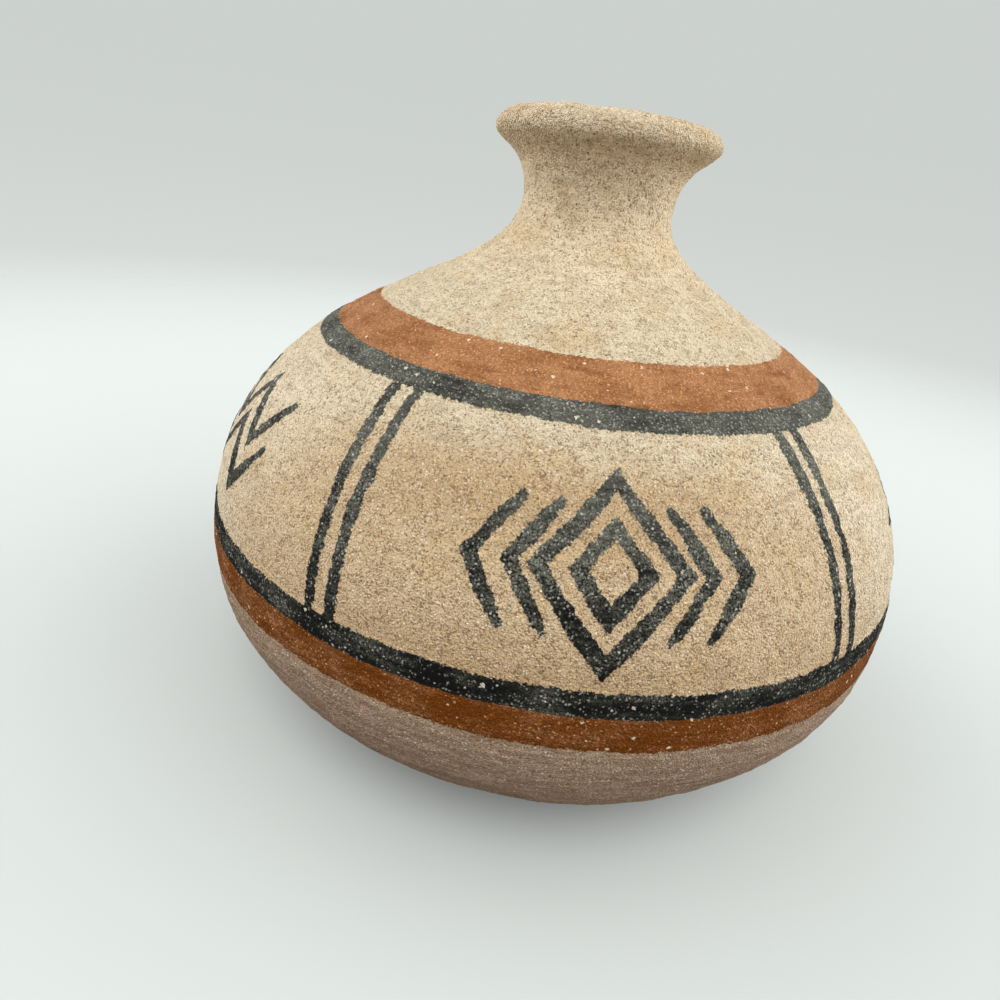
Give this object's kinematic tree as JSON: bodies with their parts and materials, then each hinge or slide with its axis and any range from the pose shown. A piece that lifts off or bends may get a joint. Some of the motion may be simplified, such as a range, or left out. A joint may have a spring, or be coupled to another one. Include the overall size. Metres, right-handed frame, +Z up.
{
  "type": "ceramic pot",
  "caption": "Squat round-bellied clay pot with a narrow waisted neck and a rolled lip, painted with slip bands and panels.",
  "frame": {"origin": "centre of the foot, on the surface that the pot stands on", "axes": "+Z up along the pot's axis, -Y towards the side that the picture shows"},
  "size_m": [0.1014, 0.1014, 0.0822],
  "materials": {
    "clay": "unglazed sandy matt clay",
    "terracotta_slip": "matt brushed terracotta slip",
    "charcoal_slip": "matt brushed charcoal slip"
  },
  "bodies": {
    "root": {"base_slab": "clay", "lower_bowl": "clay", "shoulder": "clay", "neck": "clay", "lip_ring": "clay", "upper_terracotta_band": "terracotta_slip", "upper_charcoal_band": "charcoal_slip", "lower_charcoal_band": "charcoal_slip", "lower_terracotta_band": "terracotta_slip", "divider_1_left_line": "charcoal_slip", "divider_1_right_line": "charcoal_slip", "divider_2_left_line": "charcoal_slip", "divider_2_right_line": "charcoal_slip", "divider_3_left_line": "charcoal_slip", "divider_3_right_line": "charcoal_slip", "divider_4_left_line": "charcoal_slip", "divider_4_right_line": "charcoal_slip", "divider_5_left_line": "charcoal_slip", "divider_5_right_line": "charcoal_slip", "front_outer_lozenge": "charcoal_slip", "front_inner_lozenge": "charcoal_slip", "front_left_near_chevron": "charcoal_slip", "front_left_far_chevron": "charcoal_slip", "front_right_near_chevron": "charcoal_slip", "front_right_far_chevron": "charcoal_slip", "right_upper_stairs": "charcoal_slip", "right_lower_stairs": "charcoal_slip", "right_rear_ring": "charcoal_slip", "right_rear_ray_1": "charcoal_slip", "right_rear_ray_2": "charcoal_slip", "right_rear_ray_3": "charcoal_slip", "right_rear_ray_4": "charcoal_slip", "right_rear_ray_5": "charcoal_slip", "right_rear_ray_6": "charcoal_slip", "right_rear_ray_7": "charcoal_slip", "right_rear_ray_8": "charcoal_slip", "left_rear_wave_1": "charcoal_slip", "left_rear_wave_2": "charcoal_slip", "left_rear_wave_3": "charcoal_slip", "left_upper_zigzag": "charcoal_slip", "left_lower_zigzag": "charcoal_slip"}
  },
  "joints": []
}
